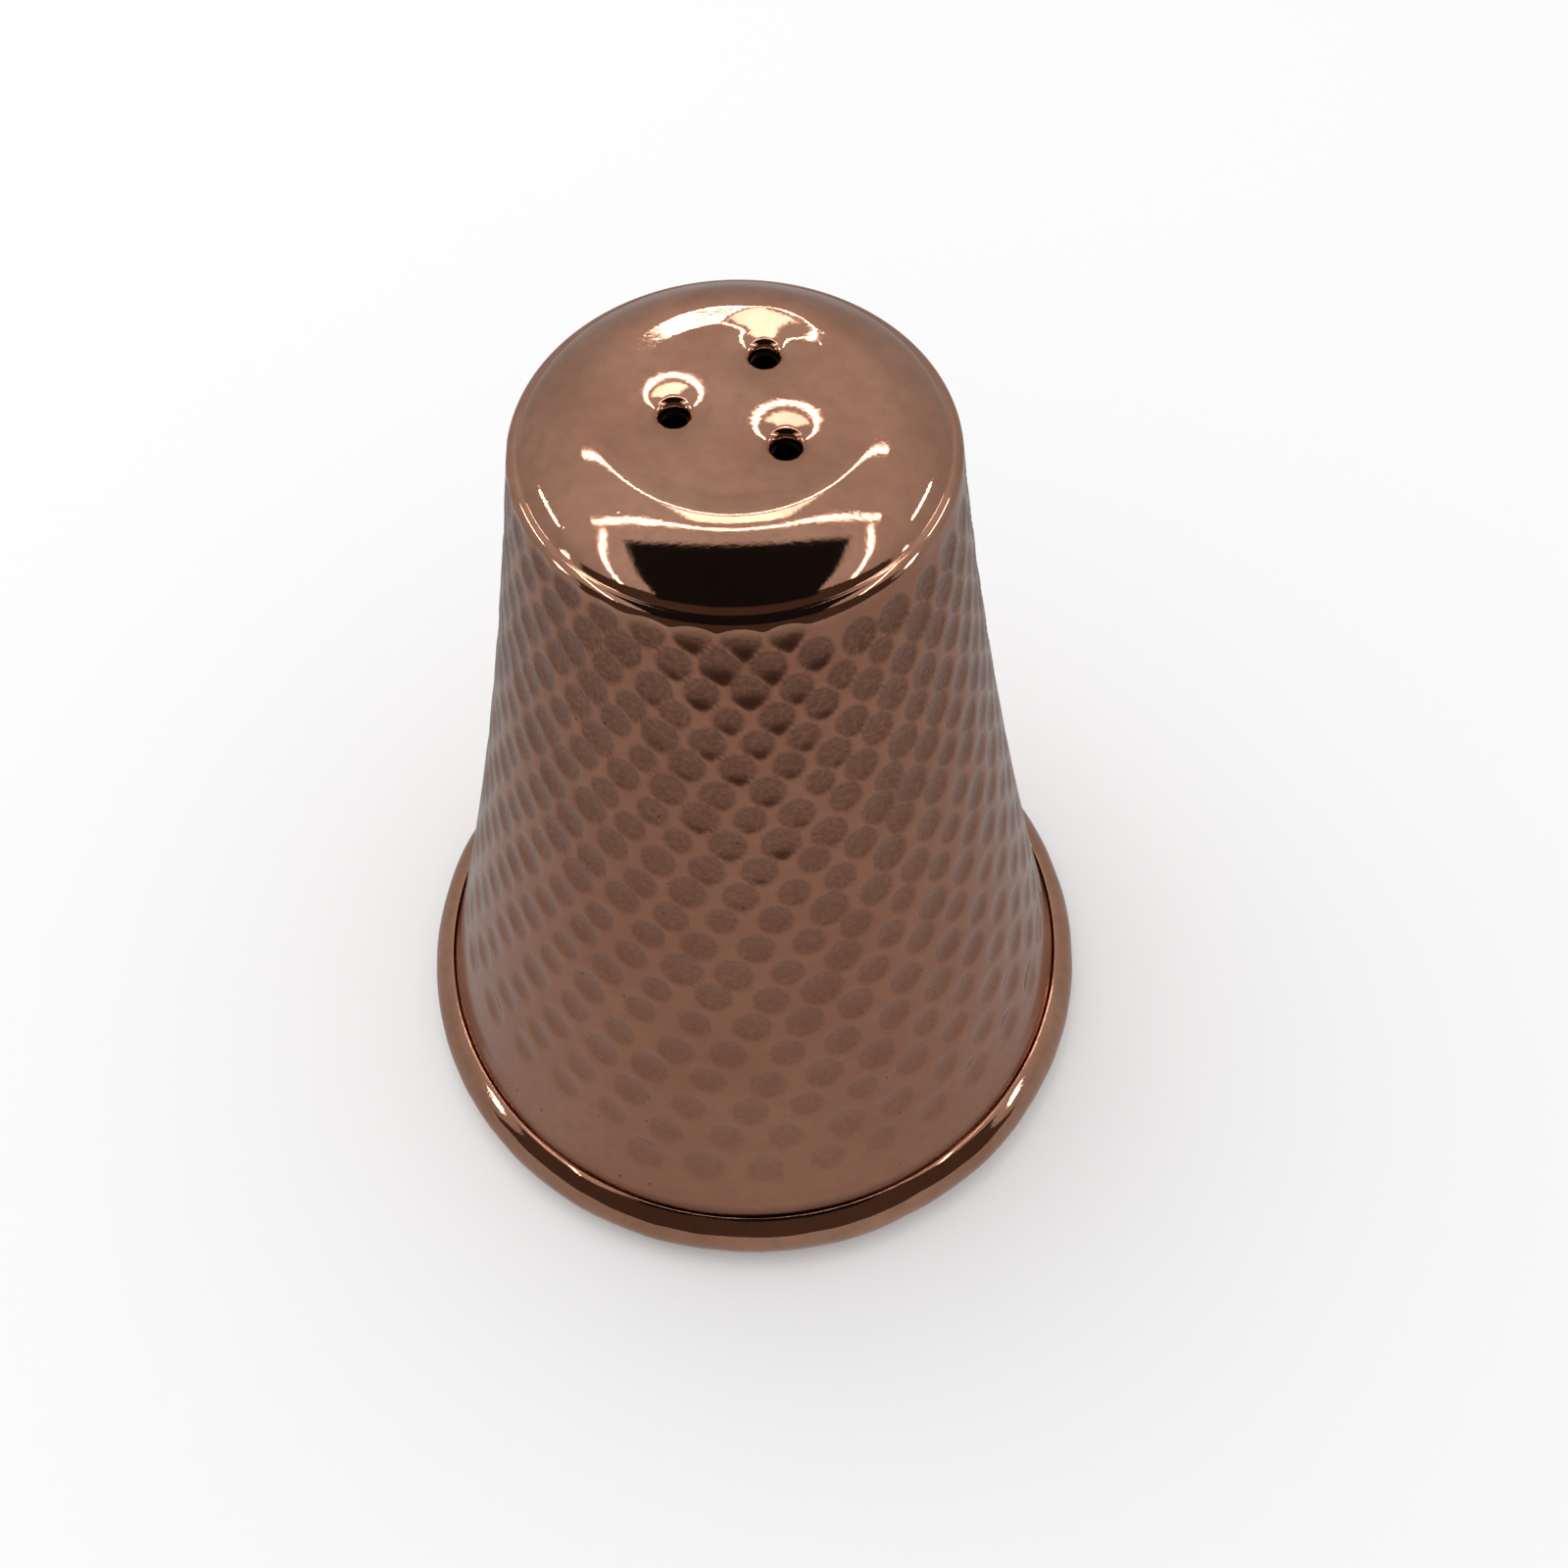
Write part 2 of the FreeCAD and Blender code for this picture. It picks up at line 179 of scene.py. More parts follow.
def disc_plan(rim_radii, rim_count, spacing, mouth):
    """Plan of the closed top: points, triangles, the first index of each throat ring. The first
    rim_count points are the outer rim."""
    edge = mouth[0][0]
    plan = []
    for radius in rim_radii:
        ring = ring_points((0, 0), radius, rim_count)
        keep = ring if radius == rim_radii[0] else [
            p for p in ring if min(math.dist(p, h) for h in HOLES) > edge + 0.02]
        plan.extend(keep)
    starts = []
    for hole in HOLES:
        for away, _ in mouth:
            if away == mouth[-1][0]:
                starts.append(len(plan))
            plan.extend(ring_points(hole, away, HOLE_SIDES))
    radius = rim_radii[-1] - spacing
    while radius > spacing / 2:
        count = max(6, round(2 * math.pi * radius / spacing))
        plan.extend(p for p in ring_points((0, 0), radius, count, 0.37)
                    if min(math.dist(p, h) for h in HOLES) > edge + 0.3 * spacing)
        radius -= spacing
    plan.append((0.0, 0.0))
    loops = [(s + i, s + (i + 1) % HOLE_SIDES) for s in starts for i in range(HOLE_SIDES)]
    found = delaunay_2d_cdt([Vector(p) for p in plan], loops, [], 0, 1e-5, True)
    back = [source[0] for source in found[3]]
    faces = []
    for face in found[2]:
        corners = [back[i] for i in face]
        if not any(all(s <= c < s + HOLE_SIDES for c in corners) for s in starts):
            faces.append(corners)
    return plan, faces, starts


# ---------------------------------------------------------------- hammer marks
# One spiral of marks runs down the wall. Each is what a domed hammer leaves: the metal that the
# dome would overlap lies on the dome instead. The marks widen towards the foot, and the turns of
# the spiral draw apart. Angles are degrees, and scatters are one standard deviation.
HAMMER_RADIUS = 8.5
MARK_WIDTH_TOP = 3.35
MARK_WIDTH_FOOT = 3.9
MARK_TOP_Z = 71.5
MARK_LAST_TURN = 20.1
MARK_START = 1362.6
MARKS_PER_TURN = 32
TURN_DROP = 2.38
DROP_GROWTH = 0.00146
TURN_ADVANCE = 365.0
ADVANCE_LOSS = 0.05
MARK_REACH = 3.2
PLACE_SCATTER = 0.12
DOME_SCATTER = 0.06
DEPTH_SCATTER = 0.13
RIDGE_SOFTNESS = 0.014
HOLLOW_DEPTH = 0.08


def mark_places():
    """(angle in radians, height) of each mark, from the top of the wall down."""
    places = []
    angle = MARK_START
    turn = 0.0
    while turn < MARK_LAST_TURN:
        height = MARK_TOP_Z - TURN_DROP * turn - DROP_GROWTH * turn ** 3
        places.append((math.radians(angle), height))
        angle -= (TURN_ADVANCE - ADVANCE_LOSS * turn) / MARKS_PER_TURN
        turn = (MARK_START - angle) / 360.0
    return places


def hammer(rings, angles, profile, rng):
    """Moves the rings' points (an array of rings x angles x 3) onto the marks they lie in, and
    tells how much deeper each lies in its own mark than in the next one, nought on the ridges."""
    heights = np.array([p[1] for p in profile])
    radii = np.array([p[0] for p in profile])
    tilts = np.array([p[2] for p in profile])
    normal = np.stack([np.sin(tilts)[:, None] * np.cos(angles)[None, :],
                       np.sin(tilts)[:, None] * np.sin(angles)[None, :],
                       np.cos(tilts)[:, None] * np.ones_like(angles)[None, :]], axis=-1)
    total = np.ones(rings.shape[:2])
    deepest = np.zeros(rings.shape[:2])
    second = np.zeros(rings.shape[:2])
    for angle, height in mark_places():
        height += rng.gauss(0, PLACE_SCATTER)
        dome = HAMMER_RADIUS * (1 + rng.gauss(0, DOME_SCATTER))
        width = float(np.interp(height, (FOOT_END_Z, MARK_TOP_Z),
                                (MARK_WIDTH_FOOT, MARK_WIDTH_TOP)))
        depth = width ** 2 / (8 * dome) * (1 + rng.gauss(0, DEPTH_SCATTER))
        at = int(np.argmin(np.abs(heights - height)))
        angle += rng.gauss(0, PLACE_SCATTER) / radii[at]
        lean = tilts[at]
        outward = np.array([math.sin(lean) * math.cos(angle), math.sin(lean) * math.sin(angle),
                            math.cos(lean)])
        centre = np.array([radii[at] * math.cos(angle), radii[at] * math.sin(angle),
                           heights[at]]) + outward * (dome - depth)
        near = np.abs(heights - height) < MARK_REACH
        clear = np.linalg.norm(rings[near] - centre, axis=-1) - dome
        total[near] += np.exp(-np.clip(clear, -1.0, 0.2) / RIDGE_SOFTNESS)
        second[near] = np.minimum(second[near], np.maximum(deepest[near], clear))
        deepest[near] = np.minimum(deepest[near], clear)
    sunk = -RIDGE_SOFTNESS * np.log(total)
    return rings + normal * sunk[..., None], second - deepest


# ---------------------------------------------------------------- mesh helpers
def ripple(x, y, z, size, seed):
    """Smooth noise between about -1 and 1 with features of a given size."""
    return noise.noise(Vector((x / size + seed, y / size - seed, z / size + 0.5 * seed)))


def make_object(name, vertices, faces, materials, body, replaced, second=()):
    """Mesh object in metres that rides on a body and stands for a CAD node."""
    mesh = bpy.data.meshes.new(name)
    mesh.from_pydata([(x * MM, y * MM, z * MM) for x, y, z in vertices], [], faces)
    for material in materials:
        mesh.materials.append(material)
    flags = np.zeros(len(mesh.polygons), dtype=np.int32)
    if len(second):
        flags[np.array(second)] = 1
        mesh.polygons.foreach_set("material_index", flags)
    built = bmesh.new()
    built.from_mesh(mesh)
    bmesh.ops.recalc_face_normals(built, faces=built.faces)
    for face in built.faces:
        face.smooth = True
    built.to_mesh(mesh)
    built.free()
    mesh.update()
    piece = bpy.data.objects.new(name, mesh)
    bpy.context.scene.collection.objects.link(piece)
    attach(piece, body)
    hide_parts(replaced)
    return piece


WOBBLE_FADE = 1.5


def top_wobble(x, y, edge):
    """Slight unevenness of the turned top, which its reflections show. It dies out at an edge."""
    inside = min(1.0, max(0.0, (edge - math.hypot(x, y)) / WOBBLE_FADE))
    return inside * (0.010 * ripple(x, y, 0.0, 5.0, 2.3) + 0.0025 * ripple(x, y, 0.0, 1.6, 6.1))


def lathe(profile, count):
    """Array rings x angles x 3 of a profile turned about Z, and the angles."""
    angles = np.arange(count) * 2 * math.pi / count
    radii = np.array([p[0] for p in profile])
    heights = np.array([p[1] for p in profile])
    rings = np.stack([radii[:, None] * np.cos(angles), radii[:, None] * np.sin(angles),
                      heights[:, None] * np.ones(count)], axis=-1)
    return rings, angles


def grid_faces(rows, count, first=0, closed_rows=False):
    """Four-sided faces between rings of points that follow one another."""
    faces = []
    for i in range(rows if closed_rows else rows - 1):
        low = first + i * count
        high = first + ((i + 1) % rows) * count
        faces.extend((low + j, low + (j + 1) % count, high + (j + 1) % count, high + j)
                     for j in range(count))
    return faces


# ---------------------------------------------------------------- bell
# Three sides of the wall meet one of the lining. The counts keep the bell under 200,000
# triangles.
LINING_SIDES = 110
WALL_SIDES = 3 * LINING_SIDES


def make_bell(copper, tin):
    """The bell as one mesh: the hammered outside, the tinned inside and the holes' throats."""
    rng = random.Random(7)
    start = (DISC_RADIUS, DISC_Z, 0.0)
    slope = walk_arcs(start, RING_ARCS, 0.1, 8)
    neck = walk_arcs(slope[-1], NECK_ARCS, 0.30, 7)
    low = walk_arcs(neck[-1], WALL_ARC + FOOT_ARC, 0.40, 9)
    low = straight_to(low, FOOT_END_Z, 0.7)
    outer = neck + low[1:]
    rings, angles = lathe(outer, WALL_SIDES)
    rings, inside = hammer(rings, angles, outer, rng)
    rings[..., 1] += np.array([top_shift(p[0]) for p in outer])[:, None]
    vertices = [tuple(p) for p in rings.reshape(-1, 3)]
    faces = grid_faces(len(outer), WALL_SIDES)
    foot_ring = (len(outer) - 1) * WALL_SIDES

    def base_height(x, y, section):
        return float(np.interp(math.hypot(x, y), [p[0] for p in section],
                               [p[1] for p in section]))

    mouth = mouth_profile(0.0)
    rim_radii = [p[0] for p in reversed(slope)]
    plan, top_faces, throats = disc_plan(rim_radii, WALL_SIDES, 0.5, mouth)
    index = list(range(WALL_SIDES))
    for x, y in plan[WALL_SIDES:]:
        index.append(len(vertices))
        height = base_height(x, y, slope) - hole_drop(x, y, mouth)
        vertices.append((x, y + TOP_SHIFT, height + top_wobble(x, y, rim_radii[0])))
    faces.extend(tuple(index[c] for c in face) for face in top_faces)

    # the tinned lining, whose closed top reaches out to the ring's crest like the outer one
    lining_start = len(faces)
    coarse = walk_arcs(start, RING_ARCS, 0.4, 15)
    inner_slope = offset_inwards(coarse, SHEET)
    rest = walk_arcs(coarse[-1], NECK_ARCS + WALL_ARC + FOOT_ARC, 1.5, 15)
    inner = offset_inwards(straight_to(rest, FOOT_END_Z, 1.5), SHEET)
    inner_rings, _ = lathe(inner, LINING_SIDES)
    inner_rings[..., 1] += np.array([top_shift(p[0]) for p in inner])[:, None]
    inner_first = len(vertices)
    vertices.extend(tuple(p) for p in inner_rings.reshape(-1, 3))
    faces.extend(grid_faces(len(inner), LINING_SIDES, inner_first))
    inner_mouth = mouth_profile(TURNED_SHEET, 12.0)
    inner_plan, inner_faces, inner_throats = disc_plan(
        [p[0] for p in reversed(inner_slope)], LINING_SIDES, 0.9, inner_mouth)
    inner_index = list(range(inner_first, inner_first + LINING_SIDES))
    for x, y in inner_plan[LINING_SIDES:]:
        inner_index.append(len(vertices))
        height = base_height(x, y, inner_slope) - hole_drop(x, y, inner_mouth)
        vertices.append((x, y + TOP_SHIFT, height))
    faces.extend(tuple(inner_index[c] for c in face) for face in inner_faces)

    # throats: straight tubes that join the two skins
    for hole, throat, inner_throat in zip(HOLES, throats, inner_throats):
        last = [index[throat + i] for i in range(HOLE_SIDES)]
        levels = [(THROAT_RADIUS, DISC_Z - HOLE_DEPTH * 0.8),
                  (THROAT_RADIUS, DISC_Z - HOLE_DEPTH + THROAT_CHAMFER),
                  (THROAT_RADIUS + THROAT_CHAMFER, DISC_Z - HOLE_DEPTH),
                  (THROAT_RADIUS + TURNED_SHEET - THROAT_CHAMFER, DISC_Z - HOLE_DEPTH),
                  (THROAT_RADIUS + TURNED_SHEET, DISC_Z - HOLE_DEPTH + THROAT_CHAMFER)]
        for radius, height in levels:
            ring = []
            for x, y in ring_points(hole, radius, HOLE_SIDES):
                ring.append(len(vertices))
                vertices.append((x, y + TOP_SHIFT, height))
            for i in range(HOLE_SIDES):
                j = (i + 1) % HOLE_SIDES
                faces.append((last[i], last[j], ring[j], ring[i]))
            last = ring
        end = [inner_index[inner_throat + i] for i in range(HOLE_SIDES)]
        for i in range(HOLE_SIDES):
            j = (i + 1) % HOLE_SIDES
            faces.append((last[i], last[j], end[j], end[i]))

    # edge of the foot, where three sides of the wall meet one of the lining
    inner_foot = inner_first + (len(inner) - 1) * LINING_SIDES
    per = WALL_SIDES // LINING_SIDES
    for j in range(LINING_SIDES):
        here = inner_foot + j
        after = inner_foot + (j + 1) % LINING_SIDES
        out = [foot_ring + (per * j + i) % WALL_SIDES for i in range(per + 1)]
        faces.append((out[0], out[1], here))
        faces.append((out[1], out[2], after, here))
        faces.append((out[2], out[3], after))
    lining = range(lining_start, len(faces))
    bell = make_object("hammered_bell", vertices, faces, [copper, tin], SHAKER, "body_shell",
                       lining)
    hollow = np.zeros(len(vertices), dtype=np.float32)
    hollow[:inside.size] = np.clip(inside / HOLLOW_DEPTH, 0.0, 1.0).ravel()
    bell.data.attributes.new("hollow", "FLOAT", "POINT").data.foreach_set("value", hollow)
    return bell


# ---------------------------------------------------------------- pan and its rolled rim
ROLL_RADIUS = 3.0
ROLL_CENTRE = (26.15, 2.94)
PAN_BEND = 0.4
COLLAR_RADIUS = 7.5
COLLAR_TOP_Z = 6.6
ROLL_SIDES = 360
LIP_OUTER_END = 429.5
LIP_INNER_END = 411.5
EDGE_ROUND = 0.15
BROAD_SWELL = 0.11
FINE_SWELL = 0.035


def arc(centre, radius, first, last, count):
    """Points of an arc, angles in degrees, both ends included."""
    return [(centre[0] + radius * math.cos(math.radians(first + (last - first) * i / count)),
             centre[1] + radius * math.sin(math.radians(first + (last - first) * i / count)))
            for i in range(count + 1)]


def pan_section():
    """Closed section of the pan: its points, and the first and last that lie on the outside of
    the roll. A flat land under the roll joins its two outer arcs."""
    cx, cz = ROLL_CENTRE
    under = cz + PAN_BEND
    upper = under + SHEET
    bend_r = cx - ROLL_RADIUS - PAN_BEND
    inner = ROLL_RADIUS - SHEET
    land = math.degrees(math.acos(cz / ROLL_RADIUS))
    points = []
    points += arc((COLLAR_RADIUS + EDGE_ROUND, COLLAR_TOP_Z - EDGE_ROUND), EDGE_ROUND, 90, 180, 3)
    points += arc((COLLAR_RADIUS + SHEET + PAN_BEND, under + SHEET + PAN_BEND),
                  SHEET + PAN_BEND, 180, 270, 6)
    points += arc((bend_r, cz), PAN_BEND, 90, 0, 4)
    first = len(points)
    points += arc(ROLL_CENTRE, ROLL_RADIUS, 181, 270 - land, 16)
    points += arc(ROLL_CENTRE, ROLL_RADIUS, 270 + land, LIP_OUTER_END, 34)
    lip = len(points) - 1
    points += arc(ROLL_CENTRE, inner + 0.05, LIP_INNER_END, 180, 26)
    points += arc((bend_r, cz), SHEET + PAN_BEND, 0, 90, 5)
    points += arc((COLLAR_RADIUS + SHEET + PAN_BEND, upper + PAN_BEND), PAN_BEND, 270, 180, 4)
    points += arc((COLLAR_RADIUS + SHEET - EDGE_ROUND, COLLAR_TOP_Z - EDGE_ROUND),
                  EDGE_ROUND, 0, 90, 3)
    return points, first, lip


def make_pan(copper):
    """The pan, with the outside of its roll a little uneven except on the floor and the lip."""
    section, first, lip = pan_section()
    rings, angles = lathe(section, ROLL_SIDES)
    cx, cz = ROLL_CENTRE
    for i in range(first, lip + 6):
        for j, angle in enumerate(angles):
            x, y, z = rings[i, j]
            r = math.hypot(x, y)
            out = (r - cx, z - cz)
            size = math.hypot(*out)
            swell = (BROAD_SWELL * ripple(x, y, z, 6.0, 3.1)
                     + FINE_SWELL * ripple(x, y, z, 2.2, 9.4))
            off_floor = min(1.0, max(0.0, (z - 0.2) / 1.2))
            off_lip = min(1.0, max(0.25, (r - 26.9) / 1.5))
            swell *= off_floor * off_lip
            r += swell * out[0] / size
            z += swell * out[1] / size
            rings[i, j] = (r * math.cos(angle), r * math.sin(angle), z)
    vertices = [tuple(p) for p in rings.reshape(-1, 3)]
    faces = grid_faces(len(section), ROLL_SIDES, 0, True)
    return make_object("rolled_pan", vertices, faces, [copper], SHAKER, "base_pan")


# ---------------------------------------------------------------- materials
class Nodes:
    """Short way to add and join shader nodes."""

    def __init__(self, name):
        self.material = bpy.data.materials.new(name)
        self.material.use_nodes = True
        self.tree = self.material.node_tree
        self.tree.nodes.clear()
        self.out = self.tree.nodes.new("ShaderNodeOutputMaterial")

    def add(self, kind, settings=None, **inputs):
        node = self.tree.nodes.new("ShaderNode" + kind)
        for key, value in (settings or {}).items():
            setattr(node, key, value)
        for key, value in inputs.items():
            self.put(node, key.replace("_", " "), value)
        return node

    def put(self, node, key, value):
        socket = node.inputs[int(key) if key.isdigit() else key]
        if isinstance(value, bpy.types.NodeSocket):
            self.tree.links.new(value, socket)
        else:
            socket.default_value = value

    def millimetres(self):
        """Object coordinates in millimetres."""
        coords = self.add("TexCoord")
        scaled = self.add("VectorMath", {"operation": "SCALE"}, Vector=coords.outputs["Object"])
        scaled.inputs["Scale"].default_value = 1 / MM
        return scaled.outputs["Vector"]

    def noise(self, vector, scale, detail=3.0, roughness=0.5):
        return self.add("TexNoise", Vector=vector, Scale=scale, Detail=detail,
                        Roughness=roughness).outputs["Fac"]

    def ramp(self, value, stops):
        node = self.add("ValToRGB", Fac=value)
        elements = node.color_ramp.elements
        while len(elements) < len(stops):
            elements.new(0.5)
        for element, (position, colour) in zip(elements, stops):
            element.position = position
            element.color = tuple(colour) + (1.0,)
        return node.outputs["Color"]

    def spread(self, value, low, high, to_low, to_high):
        return self.add("MapRange", Value=value, From_Min=low, From_Max=high, To_Min=to_low,
                        To_Max=to_high).outputs["Result"]

    def math(self, operation, first, second):
        node = self.add("Math", {"operation": operation})
        self.put(node, "0", first)
        self.put(node, "1", second)
        return node.outputs["Value"]

    def mix(self, factor, first, second):
        node = self.add("Mix", {"data_type": "RGBA"})
        self.put(node, "Factor", factor)
        self.put(node, "6", first)
        self.put(node, "7", second)
        return node.outputs[2]

    def bump(self, height, strength, distance_mm, normal=None):
        node = self.add("Bump", Height=height, Strength=strength, Distance=distance_mm * MM)
        if normal is not None:
            self.put(node, "Normal", normal)
        return node.outputs["Normal"]

    def finish(self, **inputs):
        shader = self.add("BsdfPrincipled", **inputs)
        self.tree.links.new(shader.outputs["BSDF"], self.out.inputs["Surface"])
        return self.material


CREVICE_Z = 5.5


def copper_material(name, polish_z, foot_z):
    """Worked copper: polished above a height, satin and redder below it, dull in its hammer
    marks, and darkened in the crevice over the bead with painted shade and painted reflection.
    The marks are duller towards the top of the wall than near the foot."""
    n = Nodes(name)
    at = n.millimetres()
    height = n.add("SeparateXYZ", Vector=at).outputs["Z"]
    satin = n.spread(height, polish_z, polish_z - 0.8, 0.0, 1.0)
    hollow = n.add("Attribute", {"attribute_name": "hollow"}).outputs["Fac"]
    hollow = n.spread(hollow, 0.08, 0.75, 0.0, 1.0)
    wear = n.math("MULTIPLY", n.math("MULTIPLY", hollow, satin),
                  n.spread(height, foot_z, polish_z, 0.20, 1.0))
    broad = n.noise(at, 0.09, 4.0, 0.6)
    colour = n.ramp(broad, [(0.30, (0.52, 0.255, 0.168)), (0.50, (0.60, 0.312, 0.205)),
                            (0.72, (0.68, 0.368, 0.246))])
    colour = n.mix(n.math("MULTIPLY", satin, 0.5), colour, (0.504, 0.194, 0.105, 1))
    grain = n.noise(at, 2.6, 5.0, 0.62)
    blotch = n.noise(at, 0.8, 3.0, 0.55)
    pits = n.add("TexVoronoi", Vector=at, Scale=0.42, Randomness=1.0).outputs["Distance"]
    pit = n.math("MULTIPLY", n.spread(pits, 0.03, 0.06, 1.0, 0.0),
                 n.spread(satin, 0.0, 1.0, 0.2, 1.0))
    stained = n.mix(n.spread(blotch, 0.42, 0.72, 0.0, 0.35), colour, (0.40, 0.200, 0.135, 1))
    dulled = n.mix(n.math("MULTIPLY", wear, n.spread(grain, 0.30, 0.62, 0.35, 0.85)), stained,
                   (0.19, 0.093, 0.062, 1))
    # painted shade and painted reflection: the satin foot turns dark just above the bead, where
    # the crevice holds shade and mirrors the dark bead and front opening
    crevice_painted_shade = n.math("MULTIPLY", n.spread(height, CREVICE_Z, CREVICE_Z + 1.3, 0.85, 0.0), satin)
    colour = n.mix(crevice_painted_shade, dulled, (0.10, 0.075, 0.062, 1))
    colour = n.mix(n.math("MULTIPLY", pit, 0.75), colour, (0.09, 0.045, 0.035, 1))
    satin_rough = n.math("ADD", n.spread(grain, 0.3, 0.7, 0.10, 0.18),
                         n.math("MULTIPLY", wear, 0.08))
    polish_rough = n.spread(blotch, 0.3, 0.7, 0.02, 0.06)
    rough = n.add("Mix", {"data_type": "FLOAT"})
    n.put(rough, "0", satin)
    n.put(rough, "2", polish_rough)
    n.put(rough, "3", satin_rough)
    normal = n.bump(grain, 0.14, 0.03)
    normal = n.bump(n.math("SUBTRACT", 1.0, pit), 0.4, 0.04, normal)
    return n.finish(Base_Color=colour, Metallic=1.0, Roughness=rough.outputs[0], Normal=normal)


def tin_material(name, colour_low, colour_high, rough_low, rough_high):
    n = Nodes(name)
    at = n.millimetres()
    mottle = n.noise(at, 0.5, 5.0, 0.6)
    colour = n.ramp(mottle, [(0.3, colour_low), (0.7, colour_high)])
    rough = n.spread(mottle, 0.3, 0.7, rough_low, rough_high)
    normal = n.bump(n.noise(at, 1.8, 4.0), 0.15, 0.05)
    return n.finish(Base_Color=colour, Metallic=1.0, Roughness=rough, Normal=normal)


def rubber_material():
    n = Nodes("moulded_rubber")
    at = n.millimetres()
    dust = n.noise(at, 0.35, 6.0, 0.65)
    colour = n.ramp(dust, [(0.35, (0.020, 0.018, 0.017)), (0.75, (0.060, 0.054, 0.050))])
    rough = n.spread(dust, 0.3, 0.7, 0.50, 0.68)
    normal = n.bump(n.noise(at, 4.0, 4.0), 0.25, 0.03)
    return n.finish(Base_Color=colour, Metallic=0.0, Roughness=rough, Normal=normal)


# ---------------------------------------------------------------- studio
def glow_material(name, strength, tint=(1.0, 1.0, 1.0)):
    n = Nodes(name)
    light = n.add("Emission", Color=tuple(tint) + (1.0,), Strength=strength)
    n.tree.links.new(light.outputs["Emission"], n.out.inputs["Surface"])
    n.material.cycles.emission_sampling = "NONE"
    return n.material


def card(name, corners, material, only_in_reflections=True, faces=None):
    """A panel of the studio, seen by the copper and not by the camera."""
    mesh = bpy.data.meshes.new(name)
    mesh.from_pydata([Vector(c) * MM for c in corners], [],
                     faces or [tuple(range(len(corners)))])
    mesh.materials.append(material)
    panel = bpy.data.objects.new(name, mesh)
    bpy.context.scene.collection.objects.link(panel)
    if only_in_reflections:
        panel.visible_camera = False
        panel.visible_diffuse = False
        panel.visible_shadow = False
        panel.visible_transmission = False
    return panel


CAMERA_PLACE = Vector((2.906, -91.282, 177.797))
CAMERA_ELEVATION = 58.129
CAMERA_ROLL = -0.7107
CAMERA_LENS = 49.05


def make_camera():
    """The camera, where the fitted view has it."""
    data = bpy.data.cameras.new("camera")
    data.lens = CAMERA_LENS
    data.sensor_width = 36.0
    data.clip_start = 0.01
    camera = bpy.data.objects.new("camera", data)
    bpy.context.scene.collection.objects.link(camera)
    tip = Matrix.Rotation(math.radians(90 - CAMERA_ELEVATION), 4, "X")
    roll = Matrix.Rotation(math.radians(CAMERA_ROLL), 4, "Z")
    camera.matrix_world = Matrix.Translation(CAMERA_PLACE * MM) @ tip @ roll
    bpy.context.scene.camera = camera


def shell_card(name, lat, rise, distance, material):
    """A card curved round the top of the shaker. lat is its range in degrees to either side of
    the front, and rise its range from the front horizon (0) over the top (90) to the back."""
    steps = 12
    vertices = []
    for i in range(steps + 1):
        up = math.radians(rise[0] + (rise[1] - rise[0]) * i / steps)
        for j in range(steps + 1):
            side = math.radians(lat[0] + (lat[1] - lat[0]) * j / steps)
            vertices.append((distance * math.sin(side), -distance * math.cos(side) * math.cos(up),
                             TOP_Z + distance * math.cos(side) * math.sin(up)))
    row = steps + 1
    faces = [(i * row + j, i * row + j + 1, (i + 1) * row + j + 1, (i + 1) * row + j)
             for i in range(steps) for j in range(steps)]
    return card(name, vertices, material, True, faces)


STRIP_PLANE_RISE = 50.0


def upright_strip(name, across, low, high, distance, material):
    """A straight strip in the plane square to the direction STRIP_PLANE_RISE degrees up in
    front. Angles are from that direction."""
    lean = math.radians(STRIP_PLANE_RISE)
    ahead = Vector((0, -math.cos(lean), math.sin(lean)))
    up = Vector((0, math.sin(lean), math.cos(lean)))
    origin = Vector((0, 0, TOP_Z)) + ahead * distance
    corners = []
    for side, above in ((across[0], low), (across[1], low), (across[1], high), (across[0], high)):
        corners.append(origin + Vector((distance * math.tan(math.radians(side)), 0, 0))
                       + up * distance * math.tan(math.radians(above)))
    return card(name, corners, material)


OPENING_LEVEL = 0.012
FRONT_LEVEL = 0.08
TABLE_LEVEL = 0.38
ROOF_LEVEL = 3.2
STRIP_LEVEL = 14.0
FLOOR_SIZE = 3000.0
TENT_RADIUS = 400.0


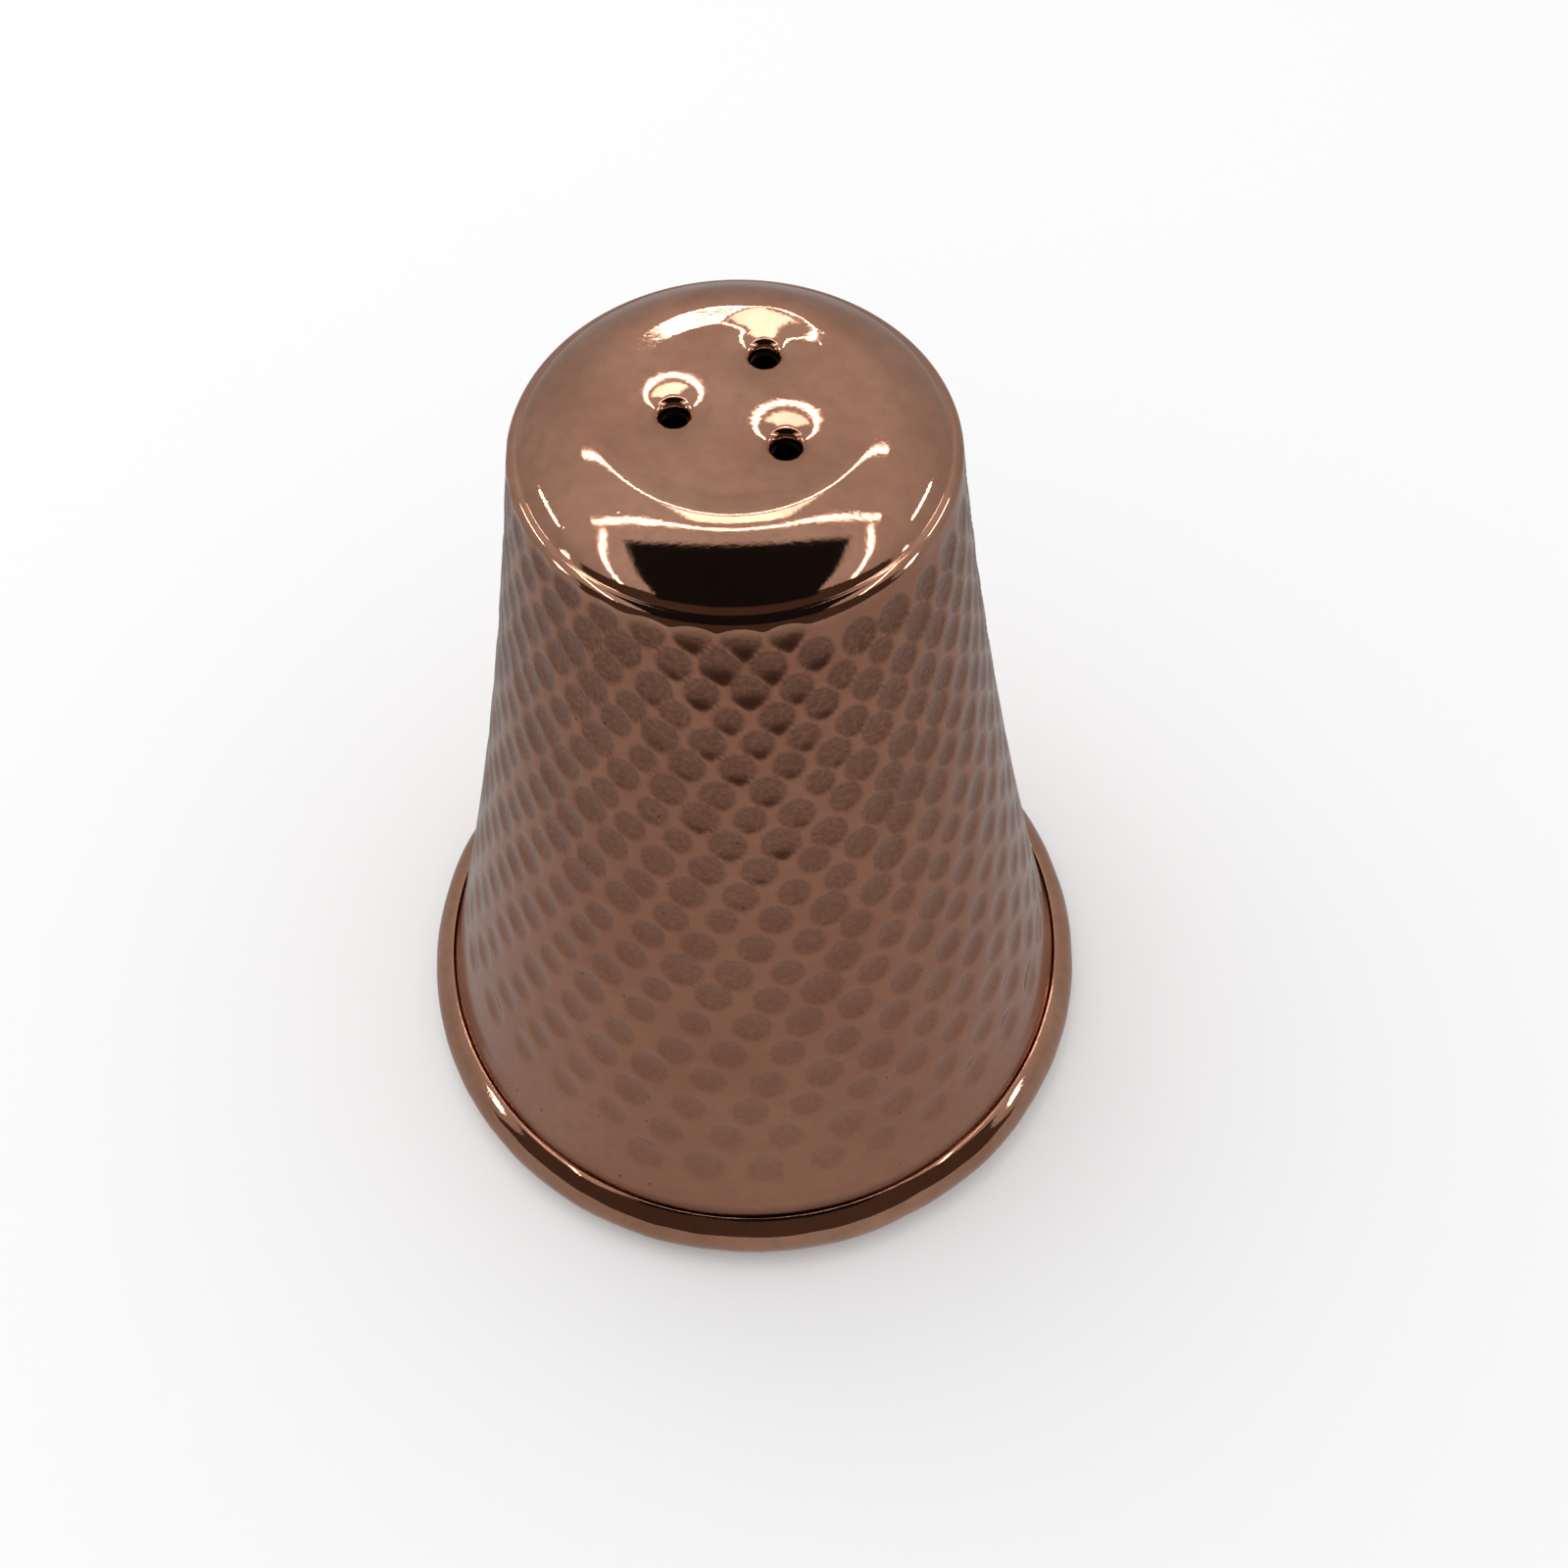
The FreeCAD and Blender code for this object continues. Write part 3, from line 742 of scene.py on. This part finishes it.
def make_studio():
    floor_nodes = Nodes("pale_floor")
    floor_material = floor_nodes.finish(Base_Color=(0.86, 0.86, 0.86, 1), Roughness=0.9)
    size = FLOOR_SIZE
    floor = card("floor", [(-size, -size, 0), (size, -size, 0), (size, size, 0), (-size, size, 0)],
                 floor_material, False)
    floor.visible_glossy = False

    # the tent: a large sphere of even light round the shaker
    tent_nodes = Nodes("tent_cloth")
    at = tent_nodes.millimetres()
    height = tent_nodes.add("SeparateXYZ", Vector=at).outputs["Z"]
    level = tent_nodes.ramp(tent_nodes.spread(height, -TENT_RADIUS, TENT_RADIUS, 0.0, 1.0),
                            [(0.0, (0.30,) * 3), (0.50, (0.36,) * 3), (0.75, (0.44,) * 3),
                             (0.92, (0.58,) * 3)])
    glow = tent_nodes.add("Emission", Color=level, Strength=1.0)
    tent_nodes.tree.links.new(glow.outputs["Emission"], tent_nodes.out.inputs["Surface"])
    tent_nodes.material.cycles.emission_sampling = "NONE"
    built = bmesh.new()
    bmesh.ops.create_icosphere(built, subdivisions=4, radius=TENT_RADIUS * MM)
    mesh = bpy.data.meshes.new("tent")
    built.to_mesh(mesh)
    built.free()
    mesh.materials.append(tent_nodes.material)
    tent = bpy.data.objects.new("tent", mesh)
    bpy.context.scene.collection.objects.link(tent)
    for side in ("camera", "diffuse", "shadow", "transmission"):
        setattr(tent, "visible_" + side, False)

    # what the copper mirrors: the dark front opening, strip lights round it, the bright panel in
    # the roof, the dim lower front and the table
    opening = glow_material("opening_dark", OPENING_LEVEL)
    dim = glow_material("lower_front_dim", FRONT_LEVEL, (1.0, 0.72, 0.58))
    strip = glow_material("strip_light", STRIP_LEVEL)
    panel = glow_material("roof_light", ROOF_LEVEL)
    table = glow_material("table_pale", TABLE_LEVEL)
    shell_card("opening", (-31, 31), (36, 88), 170, opening)
    shell_card("lower_front", (-66, 66), (-50, 45), 200, dim)
    shell_card("roof_panel", (-9, 9), (104, 118), 170, panel)
    shell_card("strip_back", (-34, 34), (122.0, 123.2), 165, strip)
    shell_card("strip_top", (-40, 40), (96.1, 96.9), 165, strip)
    upright_strip("strip_left", (-46, -45), -52, 44, 150, strip)
    upright_strip("strip_right", (45, 46), -52, 44, 150, strip)
    shell_card("outer_left", (-62, -60), (98, 130), 190, strip)
    shell_card("outer_right", (60, 62), (98, 130), 190, strip)
    shell_card("side_left", (-77, -73), (-5, 50), 190, strip)
    shell_card("side_right", (73, 77), (-5, 50), 190, strip)
    card("table", [(-300, -150, 0.5), (300, -85, 0.5), (300, 300, 0.5), (-300, 300, 0.5)], table)

    world = bpy.data.worlds.new("daylight")
    world.use_nodes = True
    background = world.node_tree.nodes["Background"]
    background.inputs["Color"].default_value = (1.0, 1.0, 1.0, 1.0)
    background.inputs["Strength"].default_value = 1.0
    bpy.context.scene.world = world
    lamp = bpy.data.lights.new("soft_key", "AREA")
    lamp.energy = 0.6
    lamp.size = 0.4
    key = bpy.data.objects.new("soft_key", lamp)
    key.location = (-0.15, 0.1, 0.5)
    key.rotation_euler = Vector((0.15, -0.1, -0.5)).to_track_quat("-Z", "Y").to_euler()
    key.visible_glossy = False
    bpy.context.scene.collection.objects.link(key)
    bpy.context.scene.view_settings.view_transform = "Standard"


# ---------------------------------------------------------------- assembly
WALL_TOP_Z = TOP_Z - 3.3
copper = copper_material("worked_copper", WALL_TOP_Z, FOOT_END_Z)
rolled = copper_material("rolled_copper", -5.0, -6.0)
tin = tin_material("tin_lining", (0.42, 0.41, 0.39), (0.62, 0.61, 0.58), 0.30, 0.45)
solder = tin_material("run_solder", (0.50, 0.50, 0.49), (0.68, 0.68, 0.66), 0.22, 0.40)
wire = tin_material("drawn_wire", (0.28, 0.27, 0.26), (0.40, 0.39, 0.37), 0.30, 0.45)
rubber = rubber_material()

make_bell(copper, tin)
make_pan(rolled)
for node, material in (("rim_wire", wire), ("solder_seam", solder), ("filler_stopper", rubber)):
    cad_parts[node].data.materials.clear()
    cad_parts[node].data.materials.append(material)

make_camera()
make_studio()
